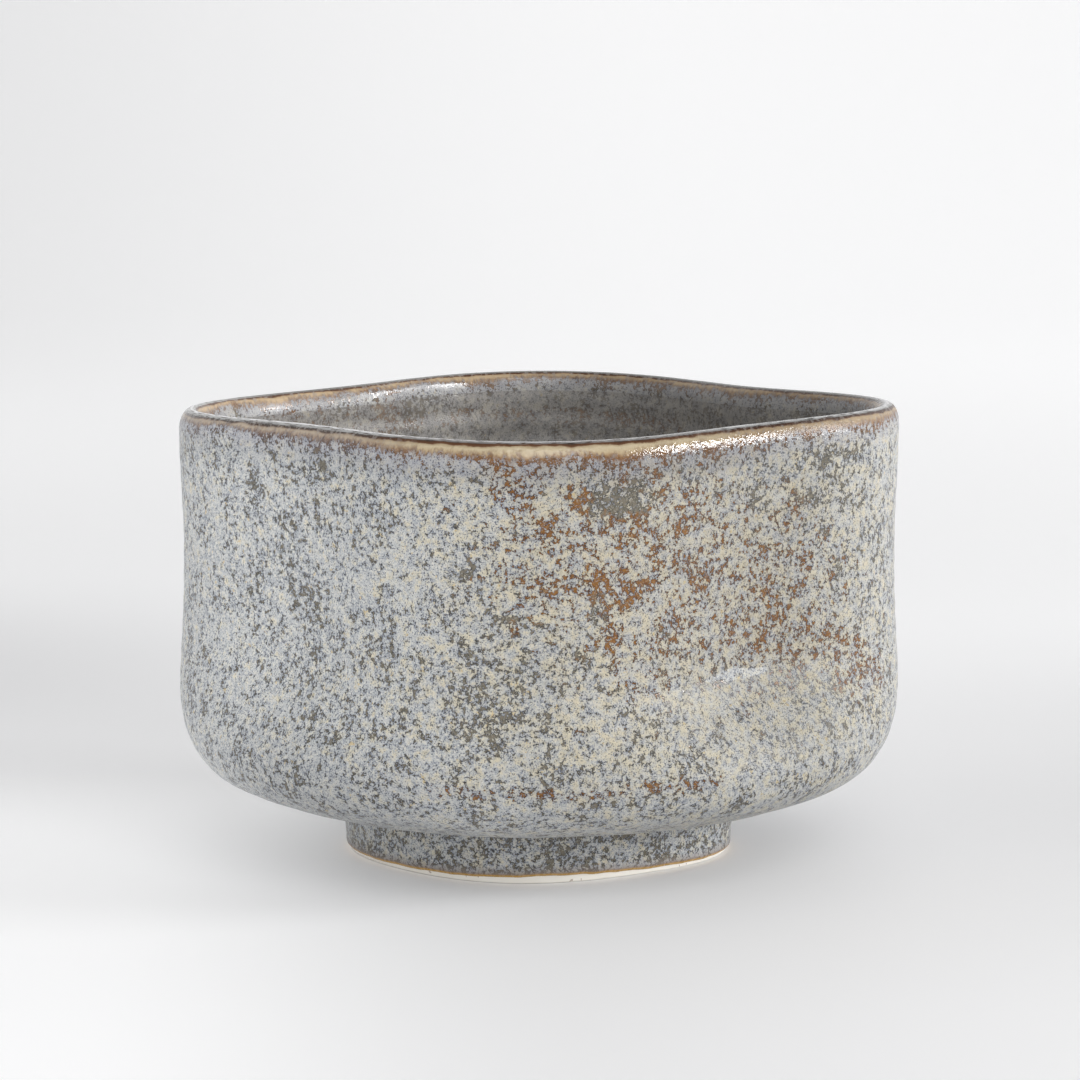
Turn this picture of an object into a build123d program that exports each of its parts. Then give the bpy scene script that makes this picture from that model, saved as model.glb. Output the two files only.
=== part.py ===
from build123d import *
import os
from math import cos, radians, sin

# A hand-shaped tea bowl: a half-cylinder body whose round lower part grows
# into a softly four-cornered mouth, on a low foot ring, under a thin glaze.
# Millimetres and degrees. +X is right, -Y is the front, +Z is up, and the
# origin is on the table under the middle of the mouth.

# Driving dimensions of the bowl.
corner_radius = 60.0  # glazed outside of the mouth, axis to corner
lip_height = 75.4  # table to the top of the lip
lip_thickness = 4.0  # glazed lip, side to side
glaze = 0.4  # thickness of every glaze coat
side_pinch = 9.0  # how far the sides are drawn in from the corners
corner_turn = -4.0  # turn of the four corners about the axis
pinch_start = 15.0  # height where the round bottom begins to square off
pinch_full = 38.0  # height from which the body is fully squared
oval = 0.55  # hand-made unevenness of the outline, two-way and three-way
oval_turn = 27.0
skew = 0.8
skew_turn = -31.0
mouth_tilt = 0.68  # the mouth leans up towards its front right
mouth_tilt_turn = -53.0
body_base = 10.4  # table to the clay underside of the body
base_radius = 33.6  # flat clay disc over the foot ring
floor_height = 15.0  # table to the glazed floor inside
floor_radius = 22.0  # flat middle of that floor
band_depth = 3.2  # tan lip band, measured down from the top of the lip

# Driving dimensions of the foot ring.
foot_profile = [(31.4, 0.0), (32.1, 1.2), (32.5, 2.8), (32.8, 5.2), (32.9, body_base)]
foot_pinch = 2.6
foot_turn = -6.0
foot_hole_radius = 24.2  # at the table
foot_hole_taper = 4.0  # the hole narrows upwards
bare_strip = 1.1  # clay left bare above the table, outside and inside

# How closely the lofts follow the shape.
points_round = 32
lip_steps = 5
first_step = 1.2  # spacing of the levels next to the lip
step_growth = 1.25
widest_step = 5.0

lip_radius = lip_thickness / 2
lip_spring = lip_height - lip_radius
lip_centre = corner_radius - lip_radius


def smooth_step(value, start, end):
    share = min(max((value - start) / (end - start), 0.0), 1.0)
    return share * share * (3 - 2 * share)


def uneven_outline(radius, pinch, turn, squared):
    """A closed outline that runs from round, squared 0, to four-cornered, 1."""
    points = []
    for number in range(points_round):
        angle = number * 360 / points_round
        change = oval * cos(radians(2 * (angle - oval_turn)))
        change += skew * cos(radians(3 * (angle - skew_turn)))
        change -= pinch / 2 * (1 - cos(radians(4 * (angle - turn))))
        reach = radius + squared * change
        points.append((reach * cos(radians(angle)), reach * sin(radians(angle))))
    shares = [number / points_round for number in range(points_round + 1)]
    return Edge.make_spline(points, periodic=True, parameters=shares)


def leaning_plane(height, squared):
    """The plane of one level, which leans as the body squares off."""
    slope = squared * sin(radians(mouth_tilt))
    lean_x = slope * cos(radians(mouth_tilt_turn))
    lean_y = slope * sin(radians(mouth_tilt_turn))
    return Plane(origin=(0, 0, height), x_dir=(1, 0, lean_x), z_dir=(-lean_x, -lean_y, 1))


def bowl_level(radius, height):
    squared = smooth_step(height, pinch_start, pinch_full)
    with BuildSketch(leaning_plane(height, squared)) as level:
        with BuildLine():
            add(uneven_outline(radius, side_pinch, corner_turn, squared))
        make_face()
    return level.sketch


def foot_level(radius, height):
    with BuildSketch(Plane.XY.offset(height)) as level:
        with BuildLine():
            add(uneven_outline(radius, foot_pinch, foot_turn, 1.0))
        make_face()
    return level.sketch


def graded_shares(length):
    """Places along a wall, as shares of it, close near the lip and wider away."""
    places = [0.0]
    step = first_step
    while places[-1] < length:
        places.append(places[-1] + step)
        step = min(step * step_growth, widest_step)
    return [place / places[-1] for place in places]


def set_in(edge, share, inset):
    """The radius and height at a place on the profile, set in from the surface."""
    place = edge @ share
    along = edge % share
    return place.X - inset * along.Y, place.Y + inset * along.X


def bowl_profile(inset):
    """Levels up the outside, over the lip and down the inside to the floor."""
    with BuildLine():
        outside = Spline(
            (base_radius + glaze, body_base - glaze),
            (47.0, 11.6),
            (55.9, 15.6),
            (59.2, 20.5),
            (60.2, 34.0),
            (59.5, 58.0),
            (corner_radius, lip_spring),
            tangents=[(1, 0), (0, 1)],
        )
        inside = Spline(
            (corner_radius - lip_thickness, lip_spring),
            (55.4, 58.0),
            (55.8, 36.0),
            (53.0, 24.0),
            (45.0, 18.0),
            (floor_radius, floor_height),
            tangents=[(0, -1), (-1, 0)],
        )
    levels = [set_in(outside, 1 - share, inset) for share in reversed(graded_shares(outside.length))]
    reach = lip_radius - inset
    for number in range(1, lip_steps):
        angle = radians(180 * number / lip_steps)
        levels.append((lip_centre + reach * cos(angle), lip_spring + reach * sin(angle)))
    levels += [set_in(inside, share, inset) for share in graded_shares(inside.length)]
    return levels


# The thrown clay wall and floor.
with BuildPart() as bowl_body:
    loft([bowl_level(radius, height) for radius, height in bowl_profile(glaze)])

# The same shape with its glaze on, which every coat of the bowl is cut from.
with BuildPart() as glazed_bowl:
    loft([bowl_level(radius, height) for radius, height in bowl_profile(0.0)])

# The foot ring: a slightly four-cornered block, hollowed on the wheel.
with BuildPart() as foot_block:
    loft([foot_level(radius, height) for radius, height in foot_profile])

with BuildPart() as foot_hollow:
    with BuildSketch(Plane.XY):
        Circle(foot_hole_radius)
    extrude(amount=body_base, taper=foot_hole_taper)

with BuildPart() as foot_ring:
    add(foot_block)
    add(foot_hollow, mode=Mode.SUBTRACT)

# The glaze over the whole bowl, parted under the lip into three coats.
with BuildPart() as bowl_coat:
    add(glazed_bowl)
    add(bowl_body, mode=Mode.SUBTRACT)
    add(foot_block, mode=Mode.SUBTRACT)

band_plane = leaning_plane(lip_height - band_depth, 1.0)

with BuildPart() as lip_glaze:
    add(bowl_coat)
    split(bisect_by=band_plane, keep=Keep.TOP)

with BuildPart() as wall_coats:
    add(bowl_coat)
    split(bisect_by=band_plane, keep=Keep.BOTTOM)

with BuildPart() as outer_glaze:
    add(wall_coats.solids().sort_by(SortBy.VOLUME)[-1])

with BuildPart() as inner_glaze:
    add(wall_coats.solids().sort_by(SortBy.VOLUME)[-2])

# The glaze outside the foot ring stops short of the table.
with BuildPart() as foot_glaze:
    loft([foot_level(radius + glaze, height) for radius, height in foot_profile])
    split(bisect_by=Plane.XY.offset(bare_strip), keep=Keep.TOP)
    split(bisect_by=Plane.XY.offset(body_base - glaze), keep=Keep.BOTTOM)
    add(foot_block, mode=Mode.SUBTRACT)

# The glaze in the well of the foot: its wall and the underside above it.
with BuildPart() as foot_well_glaze:
    add(foot_hollow)
    split(bisect_by=Plane.XY.offset(bare_strip), keep=Keep.TOP)
    with BuildSketch(Plane.XY):
        Circle(foot_hole_radius - glaze)
    extrude(amount=body_base - glaze, taper=foot_hole_taper, mode=Mode.SUBTRACT)

os.makedirs("parts", exist_ok=True)

bowl_body.part.label = "bowl_body"
foot_ring.part.label = "foot_ring"
outer_glaze.part.label = "outer_glaze"
lip_glaze.part.label = "lip_glaze"
inner_glaze.part.label = "inner_glaze"
foot_glaze.part.label = "foot_glaze"
foot_well_glaze.part.label = "foot_well_glaze"

export_step(bowl_body.part, "parts/bowl_body.step")
export_step(foot_ring.part, "parts/foot_ring.step")
export_step(outer_glaze.part, "parts/outer_glaze.step")
export_step(lip_glaze.part, "parts/lip_glaze.step")
export_step(inner_glaze.part, "parts/inner_glaze.step")
export_step(foot_glaze.part, "parts/foot_glaze.step")
export_step(foot_well_glaze.part, "parts/foot_well_glaze.step")
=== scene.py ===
import math
import bpy
import numpy as np
from mathutils import Euler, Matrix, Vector, noise


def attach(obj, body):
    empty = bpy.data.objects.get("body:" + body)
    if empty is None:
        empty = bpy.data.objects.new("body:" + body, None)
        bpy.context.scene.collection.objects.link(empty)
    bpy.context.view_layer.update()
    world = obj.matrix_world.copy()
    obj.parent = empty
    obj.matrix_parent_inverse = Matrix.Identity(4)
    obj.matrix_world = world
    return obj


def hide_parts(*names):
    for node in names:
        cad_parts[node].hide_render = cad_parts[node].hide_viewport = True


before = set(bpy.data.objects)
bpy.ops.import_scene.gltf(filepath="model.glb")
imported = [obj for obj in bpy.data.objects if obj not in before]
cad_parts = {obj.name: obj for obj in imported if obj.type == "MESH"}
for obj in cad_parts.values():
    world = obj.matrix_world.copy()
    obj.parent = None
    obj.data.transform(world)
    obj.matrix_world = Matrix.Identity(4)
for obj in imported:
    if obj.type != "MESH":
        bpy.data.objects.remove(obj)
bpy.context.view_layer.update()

# A hand-shaped tea bowl. Shapes are worked out in millimetres, like the CAD, and become
# metres when a mesh is made. Angles are degrees: -90 is the front and 0 the right.
MM = 0.001

# Driving dimensions, as in the CAD, but for a foot that is slightly slimmer at its top.
CORNER_RADIUS = 60.0
LIP_HEIGHT = 75.4
LIP_THICKNESS = 4.0
GLAZE = 0.4
SIDE_PINCH = 9.0
CORNER_TURN = -4.0
PINCH_START, PINCH_FULL = 15.0, 38.0
OVAL, OVAL_TURN = 0.55, 27.0
SKEW, SKEW_TURN = 0.8, -31.0
MOUTH_TILT, MOUTH_TILT_TURN = 0.68, -53.0
BODY_BASE, BASE_RADIUS = 10.4, 33.6
FLOOR_HEIGHT, FLOOR_RADIUS = 15.0, 22.0
BAND_DEPTH = 3.2
FOOT_PROFILE = [(31.4, 0.0), (31.8, 1.2), (32.0, 2.8), (32.2, 5.2), (32.2, BODY_BASE)]
FOOT_PINCH, FOOT_TURN = 2.6, -6.0
FOOT_HOLE_RADIUS, FOOT_HOLE_TAPER = 24.2, 4.0
BARE_STRIP = 1.1
FOOT_TOP = BODY_BASE - GLAZE

# The lip in more detail than in the CAD.
LIP_RADIUS = LIP_THICKNESS / 2
LIP_CENTRE = CORNER_RADIUS - LIP_RADIUS
LIP_RISE = 3.4  # its section is half of a tall oval, this high
LIP_WAVE, LIP_WAVE_TURN = 0.36, -17.0  # it rises and falls three times round

COLUMNS = 480
ANGLES = np.arange(COLUMNS) * 360.0 / COLUMNS - 180.0
ROW = 0.55  # spacing of the modelled rows along a visible surface
LIP_ROW = 0.3
FLAT_ROW = 0.7
WALL_RADIUS = 57.0  # mean radius of the wall, to turn degrees into millimetres


def cosd(angle):
    return np.cos(np.radians(angle))


def sind(angle):
    return np.sin(np.radians(angle))


def smooth_step(value, start, end):
    share = np.clip((value - start) / (end - start), 0.0, 1.0)
    return share * share * (3 - 2 * share)


def bell(value, middle, width):
    """1 in the middle, about a third at the width from it, and soon 0."""
    return np.exp(-((value - middle) / width) ** 2)


def turn_between(angle, middle):
    """How far an angle is from another, the short way round."""
    return (angle - middle + 180) % 360 - 180


def smooth_curve(points, start_way, end_way, count=1200):
    """A cubic spline through the points that leaves and arrives along the given ways."""
    points = np.array(points, float)
    gaps = np.hypot(*np.diff(points, axis=0).T)
    at = np.concatenate([[0.0], np.cumsum(gaps)])
    size = len(points)
    system = np.eye(size)
    wanted = np.zeros((size, 2))
    wanted[0], wanted[-1] = start_way, end_way
    for i in range(1, size - 1):
        before, after = gaps[i - 1], gaps[i]
        system[i, i - 1:i + 2] = after, 2 * (before + after), before
        rise_before = (points[i] - points[i - 1]) / before
        rise_after = (points[i + 1] - points[i]) / after
        wanted[i] = 3 * (after * rise_before + before * rise_after)
    slopes = np.linalg.solve(system, wanted)
    place = np.linspace(0.0, at[-1], count)
    i = np.clip(np.searchsorted(at, place) - 1, 0, size - 2)
    step = gaps[i][:, None]
    t = ((place - at[i]) / gaps[i])[:, None]
    return (
        (2 * t**3 - 3 * t**2 + 1) * points[i]
        + (t**3 - 2 * t**2 + t) * step * slopes[i]
        + (3 * t**2 - 2 * t**3) * points[i + 1]
        + (t**3 - t**2) * step * slopes[i + 1]
    )


def run_length(path):
    return np.concatenate([[0.0], np.cumsum(np.hypot(*np.diff(path, axis=0).T))])


def resample(path, spacing):
    """The same path with evenly spaced points."""
    run = run_length(path)
    count = max(2, int(round(run[-1] / spacing)) + 1)
    at = np.linspace(0.0, run[-1], count)
    return np.stack([np.interp(at, run, path[:, 0]), np.interp(at, run, path[:, 1])], 1)


def flat_run(start, end, height):
    """Points across a flat, from one radius to another, without its two ends."""
    count = int(round(abs(end - start) / FLAT_ROW))
    return np.stack([np.linspace(start, end, count + 1), np.full(count + 1, height)], 1)[1:-1]


# ---- outlines and levels -------------------------------------------------------------------


def squared_at(height):
    return smooth_step(height, PINCH_START, PINCH_FULL)


def outline(radius, angles, pinch, turn, squared):
    change = OVAL * cosd(2 * (angles - OVAL_TURN)) + SKEW * cosd(3 * (angles - SKEW_TURN))
    change = change - pinch / 2 * (1 - cosd(4 * (angles - turn)))
    return radius + squared * change


def bowl_rows(path):
    """Points round the bowl at each (radius, height) of a path: rows x columns x 3."""
    radius, height = path[:, 0][:, None], path[:, 1][:, None]
    squared = squared_at(height)
    reach = outline(radius, ANGLES, SIDE_PINCH, CORNER_TURN, squared)
    across, ahead = reach * cosd(ANGLES), reach * sind(ANGLES)
    slope = squared * math.sin(math.radians(MOUTH_TILT))
    rise = slope * (across * cosd(MOUTH_TILT_TURN) + ahead * sind(MOUTH_TILT_TURN))
    rise = rise + squared * LIP_WAVE * cosd(3 * (ANGLES - LIP_WAVE_TURN))
    return np.stack([across, ahead, height + rise], 2)


def foot_rows(radius, height, squared):
    """Points round the foot; squared is 1 on its outside and 0 in its round well."""
    reach = outline(radius, ANGLES, FOOT_PINCH, FOOT_TURN, squared)
    return np.stack([reach * cosd(ANGLES), reach * sind(ANGLES), height + 0 * reach], 2)


def circle(radius):
    """One row of points round the axis, on which noise goes round without a seam."""
    return np.stack([radius * cosd(ANGLES), radius * sind(ANGLES), 0 * ANGLES], 1)[None]


def row_normals(rows):
    """Outward directions of a grid of points, on the right of a path seen from the axis."""
    along = np.gradient(rows, axis=0)
    around = (np.roll(rows, -1, axis=1) - np.roll(rows, 1, axis=1)) / 2
    out = np.cross(around, along)
    return out / np.maximum(np.linalg.norm(out, axis=2), 1e-9)[..., None]


def turn_of(rows):
    return np.degrees(np.arctan2(rows[..., 1], rows[..., 0]))


# ---- the unevenness of hand work -----------------------------------------------------------

# Dents and waves, as (length, depth, seed), and the rings that throwing left.
SLOW_WAVES = (21.0, 0.16, 1)
HAND_WAVES = (7.5, 0.06, 2)
POOLED_GLAZE = (2.6, 0.03, 3)
THROWING_PITCH = 4.2  # from one throwing ring to the next
RING_WANDER = 1.3

# The tool's ridge and groove under the bowl, as (radius, its change, half width, depth).
TRIM_RIDGE = (45.0, 1.2, 1.9, 0.30)
TRIM_GROOVE = (50.5, 1.0, 1.7, 0.28)


def noise_field(rows, size, seed):
    """Smooth noise, about -0.7 to 0.7, with waves of about size millimetres."""
    shift = Vector((seed * 17.3, seed * 9.1, seed * 5.7))
    flat = (rows.reshape(-1, 3) / size).tolist()
    values = [noise.noise(Vector(point) + shift) for point in flat]
    return np.array(values).reshape(rows.shape[:2])


def relief(rows, run, ring_depth):
    """How far the glazed surface stands off its plain shape, in millimetres."""
    waves = [SLOW_WAVES, HAND_WAVES, POOLED_GLAZE]
    slow, hand, pool = [noise_field(rows, length, seed) for length, depth, seed in waves]
    turned = 2 * np.pi * run / THROWING_PITCH + np.radians(turn_of(rows))
    rings = np.sin(turned + RING_WANDER * slow)
    stand = sum(wave[1] * field for wave, field in zip(waves, [slow, hand, pool]))
    return stand + ring_depth * rings


def trimming(rows):
    """The ridge and groove that the trimming tool left under the bowl."""
    reach = np.hypot(rows[..., 0], rows[..., 1])
    angle = turn_of(rows)
    under = 1 - smooth_step(rows[..., 2], 13.0, 17.0)
    radius, change, width, depth = TRIM_RIDGE
    ridge = depth * bell(reach, radius + change * cosd(angle - 40), width)
    radius, change, width, depth = TRIM_GROOVE
    groove = depth * bell(reach, radius + change * cosd(2 * angle), width)
    deeper_at_left = 0.65 + 0.35 * cosd(angle + 130)
    return under * (ridge - groove) * deeper_at_left


# ---- where the glaze changes ---------------------------------------------------------------

# Where iron broke through the glaze as rust, as (width, strength, line down the wall).
RUST_STREAKS = [
    (4.5, 0.72, [(-94, 71), (-88, 60), (-80, 50), (-73, 38)]),
    (5.0, 0.66, [(-84, 67), (-70, 61), (-52, 52), (-40, 45), (-30, 39), (-20, 34)]),
    (5.0, 0.74, [(-48, 48), (-37, 42), (-24, 34)]),
    (1.3, 0.5, [(-106, 21), (-85, 20.5), (-60, 21.5)]),
    (4.0, 0.7, [(48, 68), (62, 58), (78, 52), (92, 40)]),
    (3.5, 0.6, [(150, 66), (158, 52), (163, 44)]),
]
INNER_STREAKS = [
    (1.4, 0.75, [(60, 66.5), (100, 67.6), (140, 67)]),
    (4.0, 0.8, [(152, 70), (138, 66), (124, 69)]),
    (3.0, 0.6, [(135, 70), (126, 60), (120, 48)]),
    (3.0, 0.6, [(-60, 70), (-52, 56), (-48, 44)]),
]
# Spots on the wall, as (angle, height, half width, half height).
RUST_VEILS = [
    (-58, 52, 36, 20), (-78, 60, 18, 12), (-42, 43, 12, 9), (70, 54, 22, 14), (156, 52, 12, 12),
]
OLIVE_SPOTS = [
    (-77, 66, 5.5, 3), (-77, 66, 7, 3.5), (-46, 63.5, 3, 2.5), (-80, 50, 4, 4),
    (-135, 48, 4, 5), (-98, 34, 6, 7), (-131, 70, 2.5, 3.5), (-30, 66, 5, 4),
    (20, 58, 7, 6), (118, 47, 7, 9), (175, 30, 6, 5), (60, 30, 6, 4),
    (117, 69, 2.5, 3.5), (50, 62, 8, 8),
]
CALM_SPOTS = [
    (-160, 50, 8, 10), (-125, 52, 8, 6), (-110, 54, 7, 6), (-83, 35, 6, 5), (-45, 28, 8, 5),
    (-60, 32, 6, 4), (0, 40, 10, 8), (100, 60, 9, 6), (135, 32, 10, 6),
]

# How light the glaze is round the bowl, lightest on the left and darkest on the right front, partly
# its own tone and partly painted shade; and how wide its tan band at the lip.
TONE_AND_SHADE_ROUND = {-180: 1.18, -150: 1.12, -120: 1.0, -98: 0.89, -88: 0.77, -65: 0.66, -38: 0.61,
                -15: 0.82, 30: 0.86, 90: 1.0, 180: 1.18}
BAND_ROUND = {-180: 0.78, -150: 0.86, -120: 1.03, -75: 1.19, -55: 1.14, -35: 0.92, -10: 0.78,
              180: 0.78}
DRIPS = [(9.0, 0.28, 6), (3.5, 0.14, 7)]  # what the band's width adds, as the waves above
FAR_FROM_LIP, FAR_FROM_EDGE = 60.0, 99.0  # on surfaces that have no lip or no glaze edge


def near_line(angle, height, line, width):
    """1 on a line of (angle, height) points drawn on the wall, fading over the width."""
    spot = np.stack([np.radians(angle) * WALL_RADIUS, height], -1)
    best = np.full(angle.shape, np.inf)
    points = [np.array([math.radians(a) * WALL_RADIUS, h]) for a, h in line]
    for start, end in zip(points, points[1:]):
        way = end - start
        share = np.clip(((spot - start) @ way) / (way @ way), 0, 1)
        gap = spot - start - share[..., None] * way
        best = np.minimum(best, np.hypot(gap[..., 0], gap[..., 1]))
    return bell(best, 0.0, width)


def strongest(angle, height, streaks):
    return np.max([strength * near_line(angle, height, line, width)
                   for width, strength, line in streaks], axis=0)


def all_spots(angle, height, spots):
    """The sum of spots that are each 1 in the middle."""
    return sum(bell(np.radians(turn_between(angle, at)) * WALL_RADIUS, 0.0, wide)
               * bell(height, up, tall) for at, up, wide, tall in spots)


def at_angles(angle, levels):
    """The value at an angle, between those that are given round the bowl."""
    return np.interp(angle, list(levels), list(levels.values()))


def tone_and_shade_mark(angle, height, run_from_lip, outer):
    """The share of its light that the glaze's colour keeps: partly the glaze's own tone and partly
    painted shade, darker low on the left, on the bulge that the lamps catch on the right and inside
    towards the back right.
    """
    low = (1 - smooth_step(height, 16.0, 32.0)) * outer
    left_of_middle = 1 - smooth_step(angle, -60, -35)
    under_band = 0.16 * bell(run_from_lip, 5.5, 3.0) * left_of_middle
    # Painted shade on the bulge of the wall that the lamps catch.
    lit_bulge_shade = 0.02 * bell(angle, -42, 22) * bell(height, 34, 10)
    # Painted shade low on the left of the wall.
    low_left_shade = (0.36 * bell(angle, -128, 26) - 0.02) * low
    # Painted shade inside the bowl: darker towards the back right, lighter towards the front left.
    inside = 0.18 * cosd(angle - 40) * ~outer
    return at_angles(angle, TONE_AND_SHADE_ROUND) - under_band - lit_bulge_shade - low_left_shade - inside


def glaze_marks(rows, run_from_lip, run_from_edge):
    """What the glaze materials read at each point:
    from_lip, from_edge: how far the lip's crown and the nearest glaze edge are
    rust, olive, calm: how rusty, olive or closed the glaze is
    bright, warm: how light and how creamy its film is
    dry, satin: how dull its lip and its wall are
    tone_and_shade, warm: how light its colour is, partly with painted shade, and how creamy its
    film is
    cream_lip, band: how creamy the lip is and how wide its band"""
    angle, height = turn_of(rows), rows[..., 2]
    outer = run_from_lip + 0 * angle > 0
    rust = np.where(outer, strongest(angle, height, RUST_STREAKS),
                    strongest(angle, height, INNER_STREAKS))
    drips = sum(depth * noise_field(circle(CORNER_RADIUS), length, seed)
                for length, depth, seed in DRIPS)
    return {
        "from_lip": run_from_lip + 0 * angle,
        "from_edge": run_from_edge + 0 * angle,
        "rust": np.maximum(rust, 0.5 * all_spots(angle, height, RUST_VEILS) * outer),
        "olive": all_spots(angle, height, OLIVE_SPOTS),
        "calm": all_spots(angle, height, CALM_SPOTS)
        + 0.18 * (1 - smooth_step(height, 12.0, 15.0)) * outer,
        "tone_and_shade": tone_and_shade_mark(angle, height, run_from_lip, outer),
        "warm": np.interp(cosd(angle + 58), [-1.0, 0.3, 0.9], [-0.4, -0.25, 0.9])
        - 0.5 * (1 - smooth_step(height, 14.0, 30.0)) * outer,
        "dry": np.where(outer, smooth_step(cosd(angle + 5), 0.72, 0.86),
                        smooth_step(cosd(angle - 180), 0.60, 0.76)),
        "satin": bell(angle, -38, 22) * bell(height, 30, 10) * outer,
        "far": smooth_step(sind(angle), 0.0, 0.6),
        "cream_lip": smooth_step(cosd(angle + 84), 0.80, 0.94),
        "band": at_angles(angle, BAND_ROUND) + drips,
    }


# ---- meshes --------------------------------------------------------------------------------


def make_piece(name, rows, material, marks=None, sharp=(), poles=False):
    """A closed mesh from rows of points. Without poles the last row joins the first;
    with poles the first and last rows close to a point each."""
    count, columns = rows.shape[:2]
    points = rows.reshape(-1, 3)
    ring = np.arange(columns)
    following = (ring + 1) % columns
    faces = []
    for row in range(count - 1 if poles else count):
        here, there = row * columns, ((row + 1) % count) * columns
        quads = [here + ring, here + following, there + following, there + ring]
        faces += np.stack(quads, 1).tolist()
    if poles:
        first, final, base = len(points), len(points) + 1, (count - 1) * columns
        points = np.concatenate([points, [rows[0].mean(0), rows[-1].mean(0)]])
        faces += [[first, int(b), int(a)] for a, b in zip(ring, following)]
        faces += [[final, base + int(a), base + int(b)] for a, b in zip(ring, following)]
    mesh = bpy.data.meshes.new(name)
    mesh.from_pydata((points * MM).tolist(), [], faces)
    mesh.polygons.foreach_set("use_smooth", [True] * len(mesh.polygons))
    for key, value in (marks or {}).items():
        value = value.reshape(-1)
        if poles:
            value = np.concatenate([value, [value[0], value[-1]]])
        layer = mesh.attributes.new(key, "FLOAT", "POINT")
        layer.data.foreach_set("value", value.astype(np.float32))
    ends = np.empty(len(mesh.edges) * 2, np.int32)
    mesh.edges.foreach_get("vertices", ends)
    row_of = ends.reshape(-1, 2) // columns
    level = row_of[:, 0] == row_of[:, 1]
    layer = mesh.attributes.new("sharp_edge", "BOOLEAN", "EDGE")
    layer.data.foreach_set("value", level & np.isin(row_of[:, 0], sharp))
    mesh.update()
    mesh.materials.append(material)
    piece = bpy.data.objects.new(name, mesh)
    bpy.context.scene.collection.objects.link(piece)
    return piece


def make_coat(name, seen, hidden, material, marks, poles=False, seen_first=True):
    """A thin coat of glaze: the side that shows, and the side that lies on the clay.
    hidden has fewer rows, in the order that carries on from the seen ones."""
    hidden_marks = {key: np.repeat(value[:1], len(hidden), 0) for key, value in marks.items()}
    if seen_first:
        rows, parts, meeting = [seen, hidden], [marks, hidden_marks], len(seen)
    else:
        rows, parts, meeting = [hidden, seen], [hidden_marks, marks], len(hidden)
    joined = {key: np.concatenate([parts[0][key], parts[1][key]]) for key in marks}
    sharp = [meeting - 1, meeting]
    if not poles:
        sharp += [0, len(seen) + len(hidden) - 1]
    return make_piece(name, np.concatenate(rows), material, joined, sharp, poles)


def fewer(rows, step):
    """Every step-th row, always with the first and last."""
    pick = sorted(set(range(0, len(rows), step)) | {len(rows) - 1})
    return rows[pick]


def fit_out(piece, slot, *nodes):
    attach(piece, "root")
    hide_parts(*nodes)


# ---- material nodes ------------------------------------------------------------------------


def paint(red, green, blue):
    """A colour given as it looks, 0 to 255, as linear light."""
    share = np.array([red, green, blue]) / 255
    light = np.where(share <= 0.04045, share / 12.92, ((share + 0.055) / 1.055) ** 2.4)
    return (*light.tolist(), 1.0)


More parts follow.
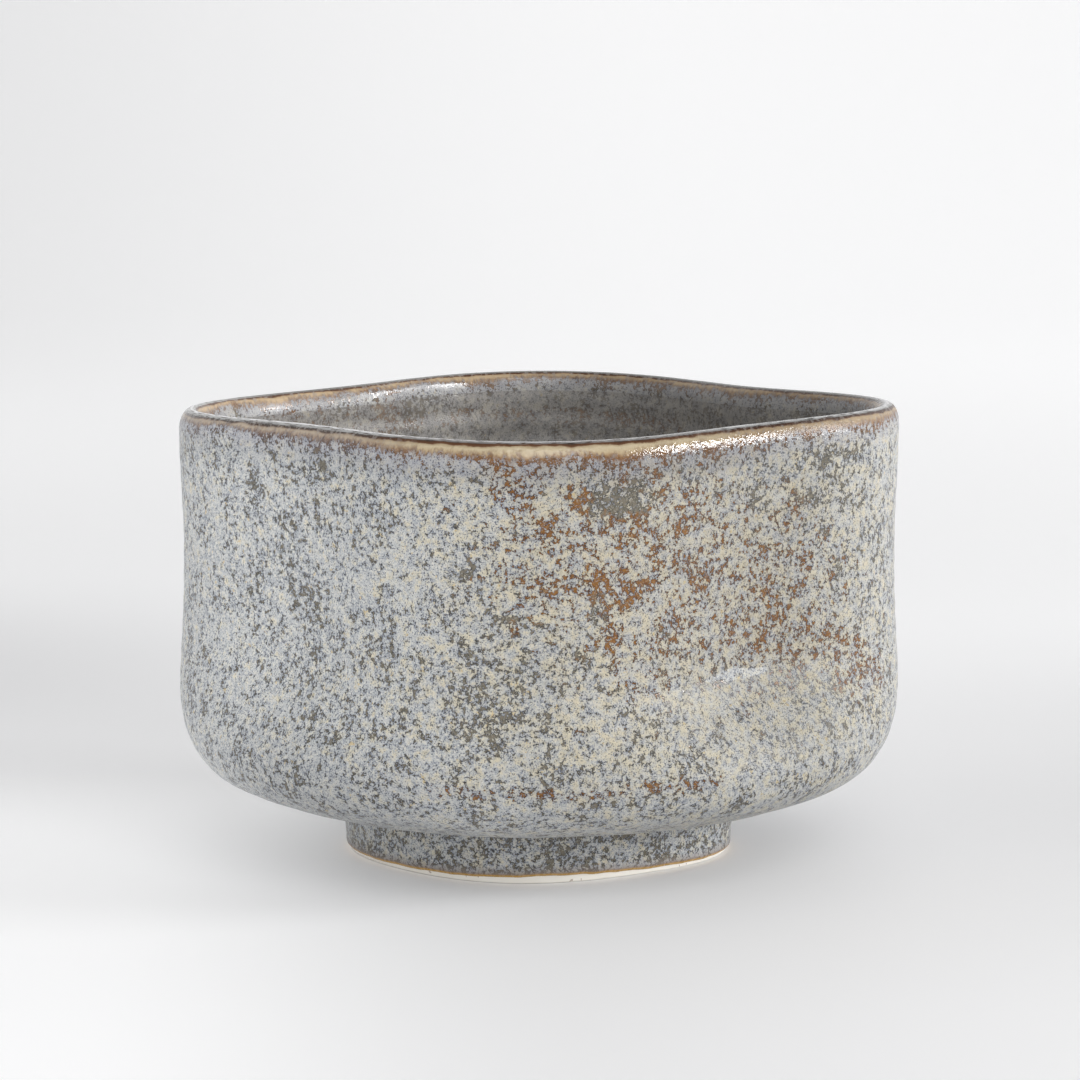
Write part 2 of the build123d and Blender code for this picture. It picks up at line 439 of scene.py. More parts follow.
class Tree:
    """A material's nodes, added as sockets that feed one another."""

    def __init__(self, name):
        self.material = bpy.data.materials.new(name)
        self.material.use_nodes = True
        self.tree = self.material.node_tree
        self.shader = self.tree.nodes["Principled BSDF"]
        place = self.add("ShaderNodeTexCoord").outputs["Object"]
        # One unit of this place is a millimetre.
        self.place = self.add("ShaderNodeVectorMath", {0: place, "Scale": 1 / MM},
                              operation="SCALE").outputs[0]

    def add(self, kind, inputs=None, **settings):
        node = self.tree.nodes.new(kind)
        for key, value in settings.items():
            setattr(node, key, value)
        for key, value in (inputs or {}).items():
            if isinstance(value, bpy.types.NodeSocket):
                self.tree.links.new(value, node.inputs[key])
            else:
                node.inputs[key].default_value = value
        return node

    def math(self, operation, *values):
        return self.add("ShaderNodeMath", dict(enumerate(values)), operation=operation).outputs[0]

    def times_plus(self, first, weight, second):
        """first times weight, plus second."""
        return self.math("MULTIPLY_ADD", first, weight, second)

    def mark(self, name):
        return self.add("ShaderNodeAttribute", attribute_name=name).outputs["Fac"]

    def noise(self, place, size, detail=2.0, roughness=0.5, colour=False):
        """Noise with waves of about size millimetres, from 0 to 1."""
        inputs = {"Vector": place, "Scale": 1 / size, "Detail": detail, "Roughness": roughness}
        return self.add("ShaderNodeTexNoise", inputs).outputs[1 if colour else 0]

    def cells(self, place, size):
        """The distance to the nearest of scattered points about size millimetres apart."""
        inputs = {"Vector": place, "Scale": 1 / size}
        return self.add("ShaderNodeTexVoronoi", inputs).outputs["Distance"]

    def stretched(self, place, across, up):
        """The place with its waves made longer across or up the wall."""
        return self.add("ShaderNodeVectorMath", {0: place, 1: (1 / across, 1 / across, 1 / up)},
                        operation="MULTIPLY").outputs[0]

    def shifted(self, place, size, reach):
        """The place pushed about by noise, which makes an edge ragged."""
        push = self.noise(place, size, 2.0, 0.6, colour=True)
        push = self.add("ShaderNodeVectorMath", {0: push, 1: (0.5, 0.5, 0.5)},
                        operation="SUBTRACT").outputs[0]
        push = self.add("ShaderNodeVectorMath", {0: push, "Scale": reach},
                        operation="SCALE").outputs[0]
        return self.add("ShaderNodeVectorMath", {0: place, 1: push}, operation="ADD").outputs[0]

    def between(self, value, start, end, low=0.0, high=1.0):
        """low up to start, high from end, and a smooth step between."""
        inputs = {"Value": value, "From Min": start, "From Max": end,
                  "To Min": low, "To Max": high}
        return self.add("ShaderNodeMapRange", inputs,
                        interpolation_type="SMOOTHSTEP").outputs["Result"]

    def mix(self, share, first, second, blend="MIX"):
        return self.add("ShaderNodeMix", {0: share, 6: first, 7: second}, data_type="RGBA",
                        blend_type=blend).outputs[2]

    def ramp(self, value, stops):
        node = self.add("ShaderNodeValToRGB", {0: value})
        line = node.color_ramp
        while len(line.elements) < len(stops):
            line.elements.new(0.5)
        for element, (position, colour) in zip(line.elements, stops):
            element.position = position
            element.color = colour
        return node.outputs[0]

    def finish(self, colour, roughness, height, depth):
        """Connects the shader. depth is how many metres a height of 1 stands up."""
        bump = self.add("ShaderNodeBump", {"Height": height, "Distance": depth})
        self.tree.links.new(colour, self.shader.inputs["Base Color"])
        self.tree.links.new(roughness, self.shader.inputs["Roughness"])
        self.tree.links.new(bump.outputs[0], self.shader.inputs["Normal"])
        return self.material


# ---- the glaze -----------------------------------------------------------------------------

# Colours of the film that crystals make on the glaze.
FILM_BLUE = paint(140, 147, 161)
FILM_GREY = paint(190, 193, 195)
FILM_WHITE = paint(231, 229, 222)
FILM_CREAM = paint(212, 203, 180)
FILM_YELLOW = paint(214, 190, 132)
FILM_LILAC = paint(172, 171, 180)
SLATE = paint(78, 83, 97)
CREAM_TINT = paint(255, 248, 228)
WARM_TINT = paint(255, 247, 228)
RUST_TINT = paint(245, 225, 200)

# Colours of the glossy glaze in its gaps.
OLIVE = paint(128, 120, 103)
OLIVE_GREEN = paint(97, 93, 80)
OLIVE_DARK = paint(58, 57, 58)
RUST = paint(114, 70, 27)
RUST_DARK = paint(60, 40, 33)
RUST_GOLD = paint(156, 105, 36)
# Painted shade inside the bowl: a soft, darker brownish grey over the film.
SHADE_CLOUD_DARK = paint(104, 98, 92)
SHADE_CLOUD_LIGHT = paint(132, 126, 118)

# Colours of the lip, and of a painted silvery reflection on its crown, which is white along its top
# as a painted highlight and dimmer at the back.
LIP_BROWN = paint(106, 80, 70)
LIP_GOLD = paint(146, 94, 32)
LIP_BLOTCH = paint(116, 80, 62)
LIP_HAZE = paint(160, 152, 145)
PAINTED_CROWN_REFLECTION = paint(176, 176, 175)
PAINTED_CROWN_HIGHLIGHT = paint(236, 236, 236)
PAINTED_CROWN_REFLECTION_FAR = paint(132, 132, 128)

# The lip's band from its crown outwards, in front, on the left and on the right, as
# (share of the way, colour).
LIP_WAY = 6.0
CREAM_BAND = [
    (0.10, paint(66, 54, 46)), (0.14, paint(88, 56, 34)), (0.20, paint(106, 70, 44)),
    (0.235, paint(188, 168, 136)), (0.29, paint(214, 198, 166)), (0.44, paint(208, 186, 150)),
    (0.53, paint(170, 134, 94)), (0.62, paint(136, 92, 58)), (0.80, paint(108, 86, 80))]
GREYISH_BAND = [
    (0.16, paint(60, 52, 46)), (0.20, paint(62, 42, 30)), (0.25, paint(176, 158, 138)),
    (0.30, paint(188, 172, 152)), (0.44, paint(176, 152, 131)), (0.60, paint(142, 114, 98)),
    (0.80, paint(120, 104, 104))]
GOLDEN_BAND = [
    (0.10, paint(58, 50, 44)), (0.14, paint(66, 40, 24)), (0.20, paint(84, 52, 30)),
    (0.235, paint(180, 156, 124)), (0.30, paint(190, 168, 137)), (0.44, paint(178, 149, 112)),
    (0.54, paint(152, 106, 58)), (0.66, paint(124, 80, 44)), (0.82, paint(108, 84, 76))]

# The glaze edge above the bare clay, from the edge inwards, and the tint round it.
EDGE_WAY = 4.0
EDGE_LINE = [
    (0.01, paint(184, 144, 70)), (0.085, paint(196, 152, 74)), (0.14, paint(146, 120, 96)),
    (0.30, paint(126, 116, 110))]
EDGE_TINT = paint(138, 126, 120)

FILM_EDGE = 0.582  # the film lies where there is more of it than this
GLAZE_IOR = 1.5
GLAZE_BUMP = 0.00007  # metres


class Glaze(Tree):
    """The nodes of the glaze: a pale broken film of crystals over a dark glossy glaze, which
    thins to tan on the lip and to gold at a glaze edge."""

    def __init__(self, name):
        super().__init__(name)
        self.rusty, self.olive, self.warm = self.mark("rust"), self.mark("olive"), self.mark("warm")
        self.from_lip, self.from_edge = self.mark("from_lip"), self.mark("from_edge")
        self.cream_lip, self.far = self.mark("cream_lip"), self.mark("far")
        self.run = self.math("ABSOLUTE", self.from_lip)
        self.ragged = self.shifted(self.place, 0.6, 0.22)
        self.patches = self.noise(self.ragged, 1.05, 3.0, 0.65)
        self.grains = self.noise(self.place, 0.27, 1.0, 0.5)
        self.depth = self.noise(self.ragged, 0.7, 3.0, 0.7)
        self.clouds = self.noise(self.shifted(self.place, 1.0, 0.7), 1.7, 4.0, 0.7)
        # How far a place is into the wall, in fingers that reach up into the tan band.
        fingers = self.noise(self.stretched(self.ragged, 1.0, 3.0), 0.7, 3.0, 0.6)
        self.start = self.times_plus(fingers, 3.0, self.math("DIVIDE", self.run, self.mark("band")))
        # How golden the lip is, and everything inside it.
        self.golden = self.math("MAXIMUM", self.between(self.warm, -0.2, 0.6),
                                self.between(self.from_lip, 0.0, -1.0))

    def film_amount(self):
        """Patches of film, broken by a net of gaps that gather in clusters."""
        clusters = self.noise(self.place, 4.2, 3.0, 0.6)
        flakes = self.math("SUBTRACT", 0.5, self.cells(self.ragged, 0.60))
        film = self.times_plus(clusters, 0.42, self.math("MULTIPLY", self.patches, 0.60))
        film = self.times_plus(flakes, 0.22, film)
        film = self.times_plus(self.grains, 0.32, film)
        film = self.times_plus(self.rusty, -0.055, film)
        film = self.times_plus(self.olive, -0.06, film)
        film = self.times_plus(self.mark("calm"), 0.03, film)
        film = self.math("ADD", film, self.between(self.start, 3.9, 6.8, -0.07, 0.0))
        return self.math("ADD", film, self.between(self.from_edge, 0.2, 1.0, -0.06, 0.0))

    def film_colour(self, film):
        """Blue-grey where thin, whiter where thick, with cream and yellow clouds."""
        body = self.between(film, FILM_EDGE, FILM_EDGE + 0.16)
        dust = self.noise(self.place, 0.22, 1.0, 0.5)
        tone = self.times_plus(self.clouds, 0.7, self.math("MULTIPLY", body, 0.30))
        tone = self.times_plus(dust, 0.9, tone)
        colour = self.ramp(self.math("SUBTRACT", tone, 0.5),
                           [(0.12, FILM_BLUE), (0.46, FILM_GREY), (0.82, FILM_WHITE)])
        cream = self.between(self.times_plus(self.warm, 0.09, self.clouds), 0.48, 0.70)
        colour = self.mix(self.math("MULTIPLY", cream, 0.35), colour, FILM_CREAM)
        colour = self.mix(self.math("MULTIPLY", cream, 0.75), colour, CREAM_TINT, "MULTIPLY")
        yellow = self.between(self.noise(self.ragged, 1.1, 2.0, 0.6), 0.66, 0.72, 0.0, 0.7)
        colour = self.mix(yellow, colour, FILM_YELLOW)
        warmth = self.between(self.warm, 0.2, 1.0, 0.0, 0.3)
        colour = self.mix(warmth, colour, WARM_TINT, "MULTIPLY")
        colour = self.mix(self.math("MULTIPLY", self.rusty, 0.15), colour, RUST_TINT, "MULTIPLY")
        colour = self.mix(self.between(self.start, 4.6, 9.6, 0.55, 0.0), colour, FILM_LILAC)
        specks = self.times_plus(tone, -0.10, self.noise(self.place, 0.24, 1.0, 0.5))
        return self.mix(self.between(specks, 0.495, 0.535, 0.0, 0.85), colour, SLATE)

    def gap_colour(self, film, film_colour):
        """Olive-grey glaze, or rust where the iron came through, and brown at the lip."""
        open_gap = self.between(self.times_plus(self.depth, -0.08, film),
                                FILM_EDGE - 0.065, FILM_EDGE - 0.10)
        colour = self.mix(self.between(self.depth, 0.35, 0.60), OLIVE_GREEN, OLIVE)
        colour = self.mix(open_gap, OLIVE_DARK, colour)
        ember = self.times_plus(self.grains, 0.5, self.math("MULTIPLY", self.depth, 0.5))
        rust_colour = self.ramp(self.times_plus(open_gap, 0.30, ember),
                                [(0.46, RUST_DARK), (0.68, RUST), (0.88, RUST_GOLD)])
        rust_share = self.times_plus(self.noise(self.place, 2.4, 3.0, 0.65), 1.4, self.rusty)
        rust_share = self.times_plus(self.olive, -0.35, rust_share)
        colour = self.mix(self.between(rust_share, 0.90, 1.15), colour, rust_colour)
        brown = self.mix(self.golden, LIP_BROWN, LIP_GOLD)
        brown = self.mix(self.between(self.depth, 0.38, 0.62, 0.6, 0.0), brown, RUST_DARK)
        colour = self.mix(self.between(self.start, 4.6, 7.6, 0.85, 0.0), colour, brown)
        # Small crystals float in the open gaps too.
        crystals = self.between(self.noise(self.place, 0.25, 1.0, 0.5), 0.58, 0.64, 0.0, 0.7)
        return self.mix(self.math("MULTIPLY", crystals, open_gap), colour, film_colour)

    def lip_colour(self, wrinkles):
        """Dark on the crown under a painted silvery reflection, with a painted highlight along its
        top, then a dark brown line, then tan, which is greyer on the left, golden on the right and
        cream in front."""
        waver = self.noise(self.stretched(self.place, 2.2, 1.0), 1.6, 3.0, 0.6)
        way = self.times_plus(waver, 1.2, self.math("SUBTRACT", self.run, 0.6))
        share = self.math("DIVIDE", way, LIP_WAY)
        tan = self.mix(self.golden, self.ramp(share, GREYISH_BAND), self.ramp(share, GOLDEN_BAND))
        colour = self.mix(self.cream_lip, tan, self.ramp(share, CREAM_BAND))
        blotch = self.between(self.noise(self.ragged, 2.0, 3.0, 0.6), 0.50, 0.62)
        blotch = self.math("MULTIPLY", blotch, self.between(self.run, 1.4, 3.0, 0.1, 0.75))
        colour = self.mix(blotch, colour, LIP_BLOTCH)
        haze = self.between(self.noise(self.ragged, 0.9, 3.0, 0.65), 0.50, 0.62)
        haze_limit = self.math("SUBTRACT", 0.6, self.math("MULTIPLY", self.cream_lip, 0.6))
        colour = self.mix(self.math("MULTIPLY", haze, haze_limit), colour, LIP_HAZE)

        # A painted reflection of the white surroundings on the crown, broken up by its wrinkles,
        # white along the top as a painted highlight, reaching further down on the left and weaker
        # in front.
        reflection_end = self.math("SUBTRACT", self.run, self.between(self.warm, -0.3, 0.4, 0.2, 0.0))
        crown_reflection = self.math("MULTIPLY", self.between(wrinkles, 0.34, 0.54),
                         self.between(reflection_end, 0.85, 0.60, 0.0, 0.95))
        crown_reflection = self.math("MULTIPLY", crown_reflection, self.between(self.cream_lip, 0.0, 1.0, 1.0, 0.6))
        reflection_colour = self.mix(self.between(self.run, 0.55, 0.15), PAINTED_CROWN_REFLECTION, PAINTED_CROWN_HIGHLIGHT)
        reflection_colour = self.mix(self.far, reflection_colour, PAINTED_CROWN_REFLECTION_FAR)
        return self.mix(crown_reflection, colour, reflection_colour)

    def crown_wrinkles(self):
        """Fine wrinkles along the crown, too far off to be told apart at the back."""
        along = self.add("ShaderNodeCombineXYZ", {2: self.math("MULTIPLY", self.from_lip, 3.0)})
        along = self.add("ShaderNodeVectorMath",
                         {0: self.place, 1: (0.4, 0.4, 0.4), 2: along.outputs[0]},
                         operation="MULTIPLY_ADD").outputs[0]
        wrinkles = self.noise(along, 0.8, 2.0, 0.6)
        return self.times_plus(self.far, self.math("SUBTRACT", 0.46, wrinkles), wrinkles)

    def with_tone_and_shade(self, colour):
        # Multiplies the colour by the glaze's own tone together with the painted shade.
        tone_and_shade = self.mark("tone_and_shade")
        tone_and_shade = self.add("ShaderNodeCombineColor", {0: tone_and_shade, 1: tone_and_shade, 2: tone_and_shade})
        return self.mix(1.0, colour, tone_and_shade.outputs[0], "MULTIPLY")

    def with_edge(self, colour):
        """The glaze edge on the foot: a fine golden line under a pinkish brown tint."""
        line = self.ramp(self.math("DIVIDE", self.from_edge, EDGE_WAY), EDGE_LINE)
        tinted = self.times_plus(self.patches, -2.0, self.from_edge)
        colour = self.mix(self.between(tinted, -0.6, 1.2, 0.6, 0.0), colour, EDGE_TINT)
        return self.mix(self.between(self.from_edge, 0.25, 0.9, 0.95, 0.0), colour, line)

    def roughness(self, cover):
        """The film is drier than the glossy glaze in its gaps and on the lip."""
        dull = self.math("MULTIPLY", cover, self.between(self.start, 4.0, 6.4, 0.15, 1.0))
        value = self.times_plus(dull, 0.25, self.between(self.run, 3.5, 9.0, 0.03, 0.15))
        dry_lip = self.between(self.run, 4.0, 2.5, 0.0, 0.3)
        value = self.times_plus(self.mark("dry"), dry_lip, value)
        value = self.times_plus(self.far, self.between(self.run, 6.0, 4.0, 0.0, 0.06), value)
        value = self.times_plus(self.grains, self.between(self.run, 3.5, 7.0, 0.02, 0.08), value)
        return self.times_plus(self.mark("satin"), 0.22, value)

    def height(self, cover, wrinkles):
        """The film stands a little above its gaps, and the glaze is dimpled near the lip."""
        value = self.times_plus(cover, 0.5, self.math("MULTIPLY", self.grains, 0.7))
        value = self.math("MULTIPLY", value, self.between(self.run, 2.8, 4.4, 0.30, 1.0))
        crown = self.math("MULTIPLY", wrinkles, self.between(self.run, 1.0, 2.0, 0.25, 0.0))
        value = self.math("ADD", value, crown)
        dimples = self.noise(self.place, 0.8, 2.0, 0.6)
        value = self.times_plus(dimples, self.between(self.run, 7.0, 3.0, 0.2, 1.7), value)
        return self.math("MULTIPLY", value, self.times_plus(self.far, -0.6, 1.0))


def glaze_material(name, softness=0.012, inner_shade_share=0.0):
    """softness widens the edges of the film's patches; the share after it is how much of a soft
    brownish grey, darker than the film as painted shade of the hollow, lies over them inside the
    bowl."""
    t = Glaze(name)
    film = t.film_amount()
    cover = t.math("MULTIPLY", t.between(film, FILM_EDGE - softness, FILM_EDGE + softness),
                   t.between(t.start, 3.5, 5.2))
    film_colour = t.film_colour(film)
    speckled = t.mix(cover, t.gap_colour(film, film_colour), film_colour)
    # Painted shade of the hollow laid over the film inside the bowl.
    shade_cloud = t.mix(t.between(t.clouds, 0.35, 0.65), SHADE_CLOUD_DARK, SHADE_CLOUD_LIGHT)
    speckled = t.mix(t.between(t.from_lip, -0.5, -2.5, 0.0, inner_shade_share), speckled, shade_cloud)
    wrinkles = t.crown_wrinkles()
    colour = t.mix(t.between(t.start, 3.3, 4.8), t.lip_colour(wrinkles), speckled)
    colour = t.with_edge(t.with_tone_and_shade(colour))
    t.shader.inputs["IOR"].default_value = GLAZE_IOR
    return t.finish(colour, t.roughness(cover), t.height(cover, wrinkles), GLAZE_BUMP)


def clay_material():
    """Bare pale stoneware: fine sand, faint turning lines and a few iron specks."""
    t = Tree("bare_clay")
    sand = t.noise(t.place, 0.35, 3.0, 0.6)
    clouds = t.noise(t.place, 5.0, 3.0, 0.6)
    lines = t.noise(t.stretched(t.place, 12.0, 0.5), 1.0, 2.0, 0.5)
    colour = t.mix(clouds, paint(248, 246, 240), paint(243, 238, 229))
    iron = t.between(t.noise(t.place, 0.8, 2.0, 0.5), 0.70, 0.74, 0.0, 0.6)
    colour = t.mix(iron, colour, paint(140, 104, 76))
    height = t.times_plus(lines, 0.6, t.math("MULTIPLY", sand, 0.4))
    return t.finish(colour, t.times_plus(sand, 0.2, 0.7), height, 0.00005)


# ---- the bowl ------------------------------------------------------------------------------

# The profile's curves as (corner radius, height).
outside = smooth_curve(
    [(BASE_RADIUS + GLAZE, BODY_BASE - GLAZE), (47.0, 11.6), (55.9, 15.6), (59.2, 20.5),
     (60.2, 34.0), (59.5, 58.0), (CORNER_RADIUS, LIP_HEIGHT - LIP_RISE)],
    (1, 0), (0, 1))
inside = smooth_curve(
    [(CORNER_RADIUS - LIP_THICKNESS, LIP_HEIGHT - LIP_RISE), (55.4, 58.0), (55.8, 36.0),
     (53.0, 24.0), (45.0, 18.0), (FLOOR_RADIUS, FLOOR_HEIGHT)],
    (0, -1), (-1, 0))
half_turn = np.linspace(0, math.pi, 181)
over_lip = np.stack([LIP_CENTRE + LIP_RADIUS * np.cos(half_turn),
                     LIP_HEIGHT - LIP_RISE * (1 - np.sin(half_turn))], 1)

UNDER_START = 27.5  # the outer coat starts inside the foot ring's wall
FLOOR_END = 0.5  # a small hole at the middle of the floor, which closes to a point
OUTER_RINGS, INNER_RINGS = 0.03, 0.09  # depth of the throwing rings
CLAY_GAP = 0.05  # between the clay and the coats on it


def build_bowl(speckled, lip_glaze, inner_glaze, clay):
    """The wall's clay and its three coats, cut from one run of rows: across the flat under
    the bowl, up the outside, over the lip, down the inside and across the floor."""
    path = np.concatenate([
        flat_run(UNDER_START, outside[0, 0], outside[0, 1]), resample(outside, ROW),
        resample(over_lip, LIP_ROW)[1:-1], resample(inside, ROW),
        flat_run(FLOOR_RADIUS, FLOOR_END, FLOOR_HEIGHT)])
    run = run_length(path)
    crown = int(np.argmax(path[:, 1]))
    from_lip = (run[crown] - run)[:, None]
    band_height = LIP_HEIGHT - BAND_DEPTH
    band_out = int(np.argmax(path[:, 1] > band_height))
    band_in = crown + int(np.argmax(path[crown:, 1] < band_height))

    plain = bowl_rows(path)
    out = row_normals(plain)
    inner = np.arange(len(path)) > crown
    ring_depth = np.where(inner, INNER_RINGS, OUTER_RINGS)[:, None]
    smoother_at_lip = np.interp(np.abs(from_lip), [0, 3, 12], [0.3, 0.5, 1.0])
    stand = smoother_at_lip * relief(plain, run[:, None], ring_depth) + trimming(plain)
    seen = plain + stand[..., None] * out
    under = seen - GLAZE * out
    marks = glaze_marks(seen, from_lip, np.full((len(path), 1), FAR_FROM_EDGE))

    def part(first, last):
        return seen[first:last], {key: value[first:last] for key, value in marks.items()}

    rows, its_marks = part(0, band_out + 1)
    coat = make_coat("outer_coat", rows, fewer(under[:band_out + 1], 12)[::-1],
                     speckled, its_marks)
    fit_out(coat, "speckled_glaze", "outer_glaze")
    rows, its_marks = part(band_out, band_in + 1)
    coat = make_coat("lip_coat", rows, fewer(under[band_out:band_in + 1], 3)[::-1],
                     lip_glaze, its_marks)
    fit_out(coat, "lip_glaze", "lip_glaze")
    rows, its_marks = part(band_in, len(seen))
    coat = make_coat("inner_coat", rows, fewer(under[band_in:], 12)[::-1],
                     inner_glaze, its_marks, poles=True, seen_first=False)
    fit_out(coat, "inner_glaze", "inner_glaze")

    base = flat_run(0.0, UNDER_START, BODY_BASE + CLAY_GAP)
    core = [bowl_rows(base)[::4], fewer(seen - (GLAZE + CLAY_GAP) * out, 4)]
    body = make_piece("bowl_clay", np.concatenate(core), clay, poles=True)
    fit_out(body, "bare_clay", "bowl_body")


# ---- the foot ------------------------------------------------------------------------------

foot_side = smooth_curve(FOOT_PROFILE, (0.45, 0.89), (0.0, 1.0))
FOOT_CORNER = 0.5  # rounding of the edges that the foot stands on
CONTACT_ROWS = 7  # rows across the face that it stands on
EDGE_ROUNDING = 0.45  # over this height a coat's edge is rounded off
WELL_CORNER = 1.5  # rounding between the well's wall and its ceiling
GRIP = 0.03  # how far the hidden side of a coat reaches into the clay
GLAZE_LIFT = 0.02  # how far its seen side stands off besides its thickness


def side_radius(height):
    return np.interp(height, foot_side[:, 1], foot_side[:, 0])


def hole_radius(height):
    return FOOT_HOLE_RADIUS - math.tan(math.radians(FOOT_HOLE_TAPER)) * height


def coat_thickness(above_edge):
    """The glaze's thickness, which rounds off to nothing at its edge."""
    return GLAZE * np.sqrt(1 - (1 - np.clip(above_edge / EDGE_ROUNDING, 0, 1)) ** 2)


def build_foot_ring(clay):
    """The ring of clay: up its outside, down the tapered hole and across its face."""
    bend = np.linspace(0, math.pi / 2, 6)
    climb = np.array([0.6, 1.0, 1.3, 1.7, 2.4, 3.5, 5.0, 7.0, 8.6, FOOT_TOP - 0.02])
    outer = np.concatenate([
        np.stack([side_radius(FOOT_CORNER) - FOOT_CORNER * (1 - np.sin(bend)),
                  FOOT_CORNER * (1 - np.cos(bend))], 1),
        np.stack([side_radius(climb), climb], 1)])
    descent = np.concatenate([climb[::-1], [FOOT_CORNER]])
    hole = np.concatenate([
        np.stack([hole_radius(descent), descent], 1),
        np.stack([hole_radius(FOOT_CORNER) + FOOT_CORNER * (1 - np.cos(bend[1:])),
                  FOOT_CORNER * (1 - np.sin(bend[1:]))], 1)])
    across = np.linspace(0, 1, CONTACT_ROWS + 2)[1:-1]
    contact = hole[-1, 0] + across * (outer[0, 0] - hole[-1, 0])
    path = np.concatenate([outer, hole, np.stack([contact, 0 * contact], 1)])
    squared = np.concatenate([np.ones(len(outer)), np.zeros(len(hole)), across])
    ring = make_piece("foot_clay", foot_rows(path[:, :1], path[:, 1:], squared[:, None]), clay)
    fit_out(ring, "bare_clay", "foot_ring")


def build_foot_coat(speckled, wave):
    """The glaze outside the foot, from a wavy bead above the table to a fillet."""
    count, top, fillet = 30, FOOT_TOP + 0.08, 0.8
    front = bell(turn_between(ANGLES, -86), 0, 32)
    back = bell(turn_between(ANGLES, 100), 0, 40)
    edge = BARE_STRIP - 0.46 + 0.68 * front + 0.45 * back + wave
    height = edge + np.linspace(0, 1, count)[:, None] ** 1.6 * (top - edge)
    above = height - edge
    bead = 0.10 * bell(above, 0.7, 0.45)
    lift = np.clip((height - (top - fillet)) / fillet, 0, 1)
    flare = fillet * (1 - np.sqrt(1 - lift ** 2))
    thick = coat_thickness(above) + bead + flare
    plain = foot_rows(side_radius(height) + GLAZE_LIFT + thick, height, 1.0)
    stand = relief(plain, height, 0.02) * np.clip(above / 1.5, 0, 1)
    seen = plain + stand[..., None] * row_normals(plain)
    hidden = foot_rows(side_radius(height) - GRIP, height, 1.0)[[count - 1, 20, 10, 0]]
    marks = glaze_marks(seen, np.full((count, 1), FAR_FROM_LIP), above)
    # The glaze has more olive gaps towards the top of the foot, so it is darker there.
    marks["olive"] = 0.7 + 0.9 * smooth_step(height, 7.0, 9.0)
    marks["calm"] = 0 * height
    # Painted shade: the whole foot, under the body, is darker.
    marks["tone_and_shade"] = 0 * height + 0.88
    marks["warm"] = 0 * height + 0.2
    coat = make_coat("foot_coat", seen, hidden, speckled, marks)
    fit_out(coat, "speckled_glaze", "foot_glaze")


def build_well_coat(speckled, wave):
    """The glaze in the well: its ceiling, a round corner and the wall down to a bead."""
    corner_height = FOOT_TOP - WELL_CORNER
    centre = hole_radius(corner_height) - GLAZE - WELL_CORNER
    bend = np.linspace(0, math.pi / 2, 8)
    ceiling = np.concatenate([
        flat_run(FLOOR_END, centre, FOOT_TOP),
        np.stack([centre + WELL_CORNER * np.sin(bend),
                  corner_height + WELL_CORNER * np.cos(bend)], 1)])
    edge = BARE_STRIP + wave[::-1] * 1.2
    share = (1 - np.linspace(1, 0, 20)[1:, None] ** 1.6)
    wall_height = corner_height + share * (edge - corner_height)
    wall_reach = hole_radius(wall_height) - GLAZE_LIFT - coat_thickness(wall_height - edge)
    reach = np.concatenate([ceiling[:, :1] + 0 * ANGLES, wall_reach])
    height = np.concatenate([ceiling[:, 1:] + 0 * ANGLES, wall_height])
    above = np.concatenate([np.full((len(ceiling), COLUMNS), 9.0), wall_height - edge])
    plain = foot_rows(reach, height, 0.0)
    stand = relief(plain, reach[:, :1], 0.07) * np.clip(above / 1.5, 0, 1)
    seen = plain + stand[..., None] * row_normals(plain)

    hidden_top = FOOT_TOP + 0.36
    hidden_height = np.stack([edge, 0 * ANGLES + 5, 0 * ANGLES + hidden_top])
    wall = foot_rows(hole_radius(hidden_height) + GRIP, hidden_height, 0.0)
    lid = foot_rows(np.array([[16.0], [8.0], [1.0]]), np.full((3, 1), hidden_top), 0.0)
    marks = glaze_marks(seen, np.full((len(seen), 1), FAR_FROM_LIP), above)
    coat = make_coat("foot_well_coat", seen, np.concatenate([wall, lid]), speckled, marks,
                     poles=True)
    fit_out(coat, "speckled_glaze", "foot_well_glaze")


def build_foot(speckled, clay):
    build_foot_ring(clay)
    wave = sum(depth * noise_field(circle(33.0), length, seed)[0]
               for length, depth, seed in [(5.0, 0.16, 4), (1.9, 0.10, 5)])
    build_foot_coat(speckled, wave)
    build_well_coat(speckled, wave)


# ---- stage, light and camera ---------------------------------------------------------------


def outline_nodes(t, side, ahead):
    """The foot ring's radius at the table, in the direction of each place."""
    turn = t.math("ARCTAN2", ahead, side)
    radius = FOOT_PROFILE[0][0] - FOOT_PINCH / 2
    for waves, amount, at in [(2, OVAL, OVAL_TURN), (3, SKEW, SKEW_TURN),
                              (4, FOOT_PINCH / 2, FOOT_TURN)]:
        wave = t.math("COSINE", t.times_plus(turn, waves, -waves * math.radians(at)))
        radius = t.times_plus(wave, amount, radius)
    return radius


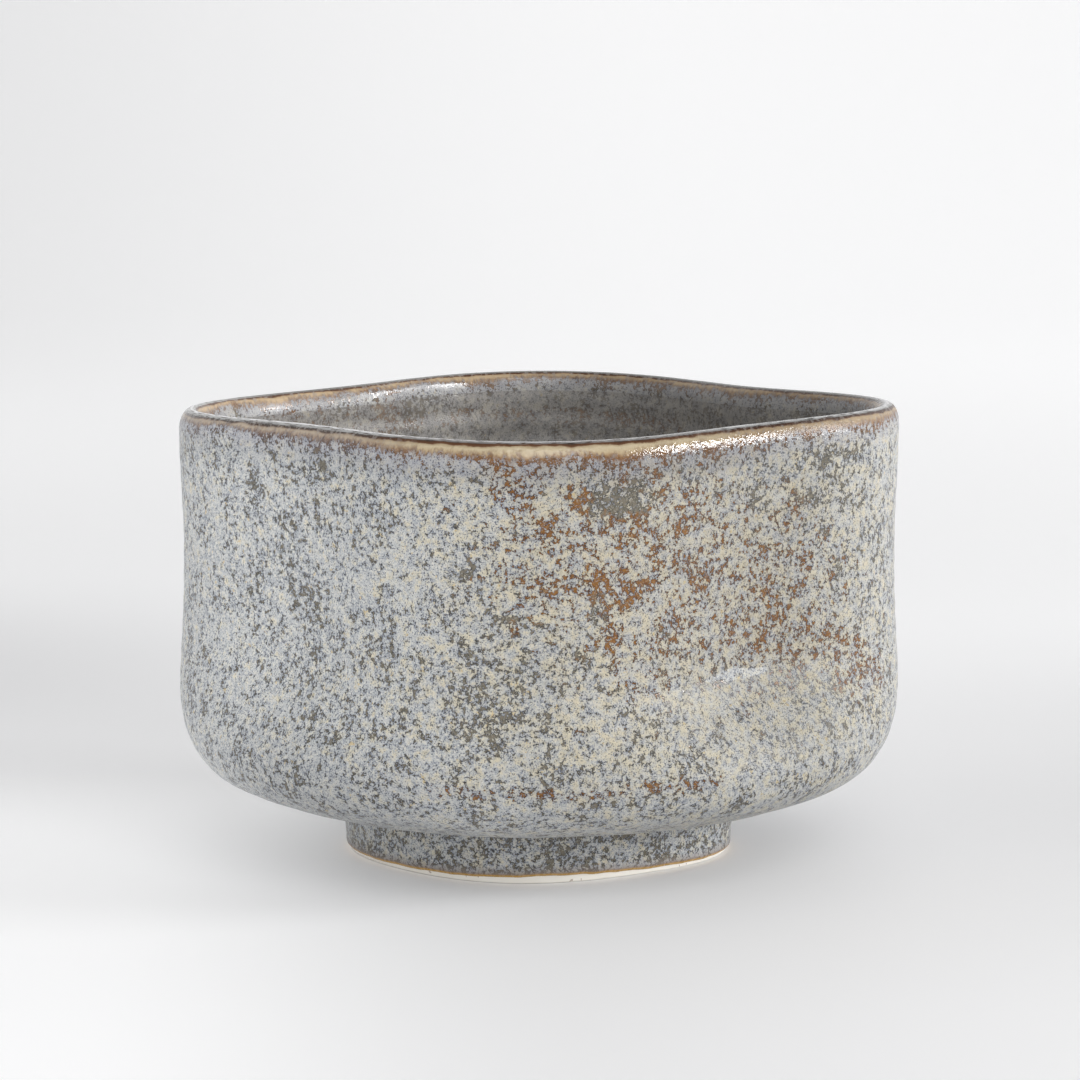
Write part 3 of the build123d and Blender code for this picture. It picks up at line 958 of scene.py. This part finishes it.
def painted_floor_glow(t):
    """Painted light: the floor glows a little, which softens the shadows. The glow is stronger
    further back, brighter in front on the left and weaker there on the right, darker on the left of
    the backdrop; its dips behind the bowl on the left and to its right are painted shadows, and
    there is none under the foot."""
    side, ahead, _ = t.add("ShaderNodeSeparateXYZ", {0: t.place}).outputs
    glow = t.between(ahead, 250.0, 900.0, 0.21, 0.35)
    slant = t.between(side, -70.0, 10.0, 0.10, -0.06)
    glow = t.times_plus(slant, t.between(ahead, 100.0, 0.0), glow)
    slant = t.between(side, -400.0, 100.0, -0.14, 0.0)
    glow = t.times_plus(slant, t.between(ahead, 500.0, 900.0), glow)
    # Painted shadows of the bowl on the floor, behind it on the left and to its right.
    for place, reach in [((-150, 160, 0), 160.0), ((150, 60, 0), 200.0)]:
        away = t.add("ShaderNodeVectorMath", {0: t.place, 1: place},
                     operation="DISTANCE").outputs["Value"]
        glow = t.math("SUBTRACT", glow, t.between(away, reach, 0.0, 0.0, 0.14))
    reach = t.add("ShaderNodeVectorMath", {0: t.place}, operation="LENGTH").outputs["Value"]
    past_foot = t.math("SUBTRACT", reach, outline_nodes(t, side, ahead))
    return t.math("MULTIPLY", glow, t.between(past_foot, -0.3, 0.5))


def floor_material():
    t = Tree("white_sweep")
    tone = t.noise(t.place, 900.0, 2.0, 0.5)
    colour = t.mix(tone, paint(222, 222, 223), paint(226, 226, 227))
    t.shader.inputs["Emission Color"].default_value = (1, 1, 1, 1)
    t.tree.links.new(painted_floor_glow(t), t.shader.inputs["Emission Strength"])
    return t.finish(colour, t.times_plus(tone, 0.1, 0.6), tone, 0.0)


def build_stage():
    """A white floor that sweeps up into a wall well behind the bowl, in metres."""
    front_end, flat_end, bend_radius, wall_top, half_width = -4.0, 1.0, 1.0, 3.5, 5.0
    line = [(y, 0.0) for y in (front_end, -1.0, 0.0, 0.6)]
    line += [(flat_end + bend_radius * math.sin(a), bend_radius * (1 - math.cos(a)))
             for a in np.linspace(0, math.pi / 2, 33).tolist()]
    line.append((flat_end + bend_radius, wall_top))
    points = [(side * half_width, y, z) for y, z in line for side in (-1, 1)]
    faces = [(2 * i, 2 * i + 1, 2 * i + 3, 2 * i + 2) for i in range(len(line) - 1)]
    mesh = bpy.data.meshes.new("white_sweep")
    mesh.from_pydata(points, [], faces)
    mesh.polygons.foreach_set("use_smooth", [True] * len(mesh.polygons))
    mesh.materials.append(floor_material())
    floor = bpy.data.objects.new("white_sweep", mesh)
    bpy.context.scene.collection.objects.link(floor)


def add_light(name, way, distance, size, power):
    """A soft rectangular light that many metres along a direction, turned to the bowl."""
    light = bpy.data.lights.new(name, "AREA")
    light.shape = "RECTANGLE"
    light.size, light.size_y = size
    light.energy = power
    lamp = bpy.data.objects.new(name, light)
    bpy.context.scene.collection.objects.link(lamp)
    target = Vector((0, 0, 0.04))
    way = Vector(way).normalized()
    lamp.location = target + distance * way
    lamp.rotation_euler = way.to_track_quat("Z", "Y").to_euler()


def graded(tree, value, start, end, low, high):
    """low up to start, high from end, and a straight change between."""
    node = tree.nodes.new("ShaderNodeMapRange")
    tree.links.new(value, node.inputs["Value"])
    levels = {"From Min": start, "From Max": end, "To Min": low, "To Max": high}
    for key, level in levels.items():
        node.inputs[key].default_value = level
    return node.outputs[0]


def light_room():
    """A white room, brightest low in front and dim overhead."""
    world = bpy.data.worlds.new("white_room")
    world.use_nodes = True
    tree = world.node_tree
    way = tree.nodes.new("ShaderNodeTexCoord").outputs["Generated"]
    split = tree.nodes.new("ShaderNodeSeparateXYZ")
    tree.links.new(way, split.inputs[0])
    power = tree.nodes.new("ShaderNodeMath")
    power.operation = "MULTIPLY"
    tree.links.new(graded(tree, split.outputs["Y"], 0.3, -1.0, 0.9, 1.05), power.inputs[0])
    tree.links.new(graded(tree, split.outputs["Z"], 0.05, 0.75, 1.0, 0.38), power.inputs[1])
    back = tree.nodes["Background"]
    back.inputs["Color"].default_value = (1, 1, 1, 1)
    tree.links.new(power.outputs[0], back.inputs["Strength"])
    bpy.context.scene.world = world


def place_camera():
    """A long lens, a little above the bowl and turned down to it, as in the photograph."""
    distance, height, pitch = 664.4, 147.3, 8.139
    camera = bpy.data.cameras.new("camera")
    camera.sensor_width = 36.0
    camera.lens = 132.667
    camera.shift_x = 0.00176
    camera.clip_start = 0.01
    holder = bpy.data.objects.new("camera", camera)
    holder.location = (0.0, -distance * MM, height * MM)
    holder.rotation_euler = Euler((math.radians(90 - pitch), 0.0, 0.0))
    bpy.context.scene.collection.objects.link(holder)
    bpy.context.scene.camera = holder


clay = clay_material()
speckled = glaze_material("speckled_glaze")
build_bowl(speckled, glaze_material("lip_glaze", inner_shade_share=0.45),
           glaze_material("inner_glaze", softness=0.085, inner_shade_share=0.72), clay)
build_foot(speckled, clay)
build_stage()
light_room()
add_light("key", (0.945, -0.12, 0.29), 1.1, (0.38, 0.15), 5.8)  # low on the right
add_light("front", (0.26, -0.79, 0.54), 1.8, (1.4, 0.9), 11.0)
place_camera()
bpy.context.scene.view_settings.view_transform = "Standard"
